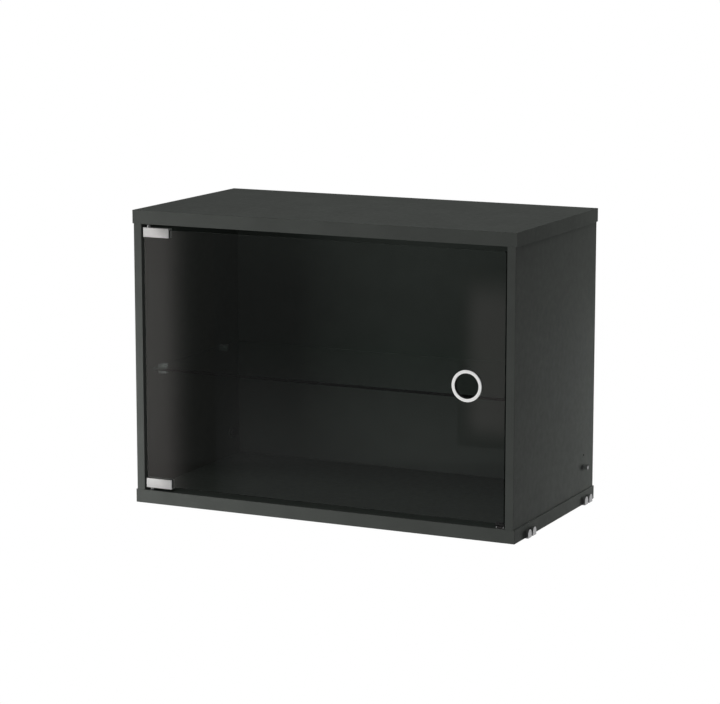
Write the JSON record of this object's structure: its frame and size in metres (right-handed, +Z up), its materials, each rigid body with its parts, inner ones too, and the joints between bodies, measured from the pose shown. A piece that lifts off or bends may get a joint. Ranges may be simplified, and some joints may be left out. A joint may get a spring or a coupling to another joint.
{
  "type": "wall mounted showcase",
  "caption": "Boxed display cabinet with a pivoted clear glass door, a round finger pull, a glass shelf, hook castings and sprung locking pins.",
  "frame": {"origin": "centre of the underside of the bottom board", "axes": "+X to the right seen from the front, +Y from the door to the wall, +Z up"},
  "size_m": [0.59, 0.3, 0.418],
  "materials": {
    "case_lacquer": "satin lacquered board",
    "beech": "plain",
    "clear_glass": "polished",
    "clear_plastic": "clear, polished",
    "satin_metal": "satin",
    "ring_metal": "fine satin",
    "bright_metal": "bright plated",
    "spring_steel": "drawn wire",
    "black_plastic": "matte",
    "anthracite_plastic": "matte",
    "blackened_steel": "satin",
    "black_rubber": "matte",
    "ferrite": "ground"
  },
  "bodies": {
    "cabinet": {"top_panel": "case_lacquer", "bottom_panel": "case_lacquer", "left_side_panel": "case_lacquer", "right_side_panel": "case_lacquer", "back_panel": "case_lacquer", "panel_dowels": "beech", "glass_shelf": "clear_glass", "shelf_clip_left_front": "clear_plastic", "shelf_clip_left_rear": "clear_plastic", "shelf_clip_right_front": "clear_plastic", "shelf_clip_right_rear": "clear_plastic", "shelf_clip_pins": "bright_metal", "upper_hinge_bushing": "black_plastic", "lower_hinge_bushing": "black_plastic", "catch_housing": "black_plastic", "catch_magnet": "ferrite", "catch_pole_plates": "bright_metal", "hook_left_front": "bright_metal", "hook_left_rear": "bright_metal", "hook_right_front": "bright_metal", "hook_right_rear": "bright_metal", "hook_screws": "bright_metal", "lock_bush_left": "anthracite_plastic", "lock_bush_right": "anthracite_plastic", "lock_ring_left": "anthracite_plastic", "lock_ring_right": "anthracite_plastic", "lock_spring_left": "spring_steel", "lock_spring_right": "spring_steel"},
    "door": {"door_glass": "clear_glass", "finger_ring": "ring_metal", "finger_sleeve": "black_plastic", "ring_washers": "clear_plastic", "upper_hinge_clamp": "satin_metal", "lower_hinge_clamp": "satin_metal", "upper_clamp_liner": "black_rubber", "lower_clamp_liner": "black_rubber", "upper_hinge_pin": "bright_metal", "lower_hinge_pin": "bright_metal", "clamp_screws": "satin_metal", "catch_strike": "blackened_steel"},
    "lock_left": {"lock_pin_left": "bright_metal", "lock_knob_left": "black_plastic"},
    "lock_right": {"lock_pin_right": "bright_metal", "lock_knob_right": "black_plastic"}
  },
  "joints": [
    {"name": "door_swing", "type": "hinge", "parent": "cabinet", "child": "door", "pos_m": [-0.266, -0.145, 0], "axis": [0, 0, -1], "range_deg": [0, 110]},
    {"name": "lock_left_slide", "type": "slide", "parent": "cabinet", "child": "lock_left", "axis": [1, 0, 0], "range_m": [0, 0.0072], "stiffness_N_per_m": 400, "springref_m": -0.004, "deforming": ["lock_spring_left"]},
    {"name": "lock_right_slide", "type": "slide", "parent": "cabinet", "child": "lock_right", "axis": [-1, 0, 0], "range_m": [0, 0.0072], "stiffness_N_per_m": 400, "springref_m": -0.004, "deforming": ["lock_spring_right"]}
  ]
}
